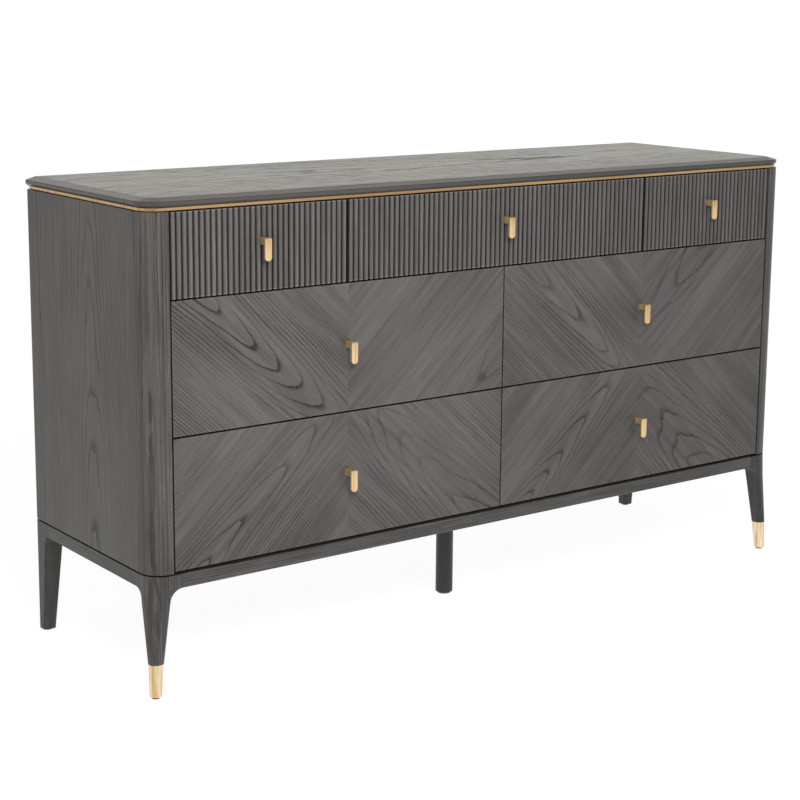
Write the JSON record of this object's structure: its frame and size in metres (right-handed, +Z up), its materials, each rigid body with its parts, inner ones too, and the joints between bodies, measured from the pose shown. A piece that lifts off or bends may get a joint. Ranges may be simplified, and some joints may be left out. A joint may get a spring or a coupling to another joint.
{
  "type": "dresser with drawers",
  "caption": "Low dark oak dresser on tapered brass-tipped legs, with reeded upper drawers, book-matched lower drawers and hanging brass tab pulls.",
  "frame": {"origin": "on the floor, under the middle of the bounding box, pulls included", "axes": "+X along the front to the right, -Y out of the drawer fronts, +Z up"},
  "size_m": [1.5, 0.461, 0.846],
  "materials": {
    "dark_oak": "satin stain",
    "satin_brass": "satin",
    "drawer_birch": "matt lacquer",
    "carcase_ply": "matt stain",
    "back_board": "matt stain",
    "black_board": "matt paint",
    "zinc_steel": "zinc plated",
    "glide_plastic": "moulded",
    "black_post": "black paint"
  },
  "bodies": {
    "case": {"top_panel": "dark_oak", "brass_inlay": "satin_brass", "top_spacer": "black_board", "sub_top_panel": "carcase_ply", "dust_panel": "carcase_ply", "bottom_panel": "carcase_ply", "back_panel": "back_board", "left_side_panel": "dark_oak", "right_side_panel": "dark_oak", "front_left_post": "dark_oak", "front_right_post": "dark_oak", "rear_left_post": "dark_oak", "rear_right_post": "dark_oak", "centre_partition": "carcase_ply", "upper_partitions": "carcase_ply", "middle_front_rails": "carcase_ply", "runner_packers": "carcase_ply", "cabinet_runners": "zinc_steel", "base_spacer": "black_board", "base_front_rail": "dark_oak", "base_rear_rail": "dark_oak", "base_left_rail": "dark_oak", "base_right_rail": "dark_oak", "base_cross_rail": "carcase_ply", "front_left_leg": "dark_oak", "front_right_leg": "dark_oak", "rear_left_leg": "dark_oak", "rear_right_leg": "dark_oak", "front_ferrules": "satin_brass", "leg_glides": "glide_plastic", "centre_support_leg": "black_post"},
    "drawer_top_left": {"top_left_front": "dark_oak", "top_left_box": "drawer_birch", "top_left_pull": "satin_brass", "top_left_runners": "zinc_steel"},
    "drawer_top_centre": {"top_centre_front": "dark_oak", "top_centre_box": "drawer_birch", "top_centre_pull": "satin_brass", "top_centre_runners": "zinc_steel"},
    "drawer_top_right": {"top_right_front": "dark_oak", "top_right_box": "drawer_birch", "top_right_pull": "satin_brass", "top_right_runners": "zinc_steel"},
    "drawer_middle_left": {"middle_left_front": "dark_oak", "middle_left_box": "drawer_birch", "middle_left_pull": "satin_brass", "middle_left_runners": "zinc_steel"},
    "drawer_middle_right": {"middle_right_front": "dark_oak", "middle_right_box": "drawer_birch", "middle_right_pull": "satin_brass", "middle_right_runners": "zinc_steel"},
    "drawer_bottom_left": {"bottom_left_front": "dark_oak", "bottom_left_box": "drawer_birch", "bottom_left_pull": "satin_brass", "bottom_left_runners": "zinc_steel"},
    "drawer_bottom_right": {"bottom_right_front": "dark_oak", "bottom_right_box": "drawer_birch", "bottom_right_pull": "satin_brass", "bottom_right_runners": "zinc_steel"}
  },
  "joints": [
    {"name": "top_left_slide", "type": "slide", "parent": "case", "child": "drawer_top_left", "axis": [0, -1, 0], "range_m": [0, 0.26]},
    {"name": "top_centre_slide", "type": "slide", "parent": "case", "child": "drawer_top_centre", "axis": [0, -1, 0], "range_m": [0, 0.26]},
    {"name": "top_right_slide", "type": "slide", "parent": "case", "child": "drawer_top_right", "axis": [0, -1, 0], "range_m": [0, 0.26]},
    {"name": "middle_left_slide", "type": "slide", "parent": "case", "child": "drawer_middle_left", "axis": [0, -1, 0], "range_m": [0, 0.26]},
    {"name": "middle_right_slide", "type": "slide", "parent": "case", "child": "drawer_middle_right", "axis": [0, -1, 0], "range_m": [0, 0.26]},
    {"name": "bottom_left_slide", "type": "slide", "parent": "case", "child": "drawer_bottom_left", "axis": [0, -1, 0], "range_m": [0, 0.26]},
    {"name": "bottom_right_slide", "type": "slide", "parent": "case", "child": "drawer_bottom_right", "axis": [0, -1, 0], "range_m": [0, 0.26]}
  ]
}
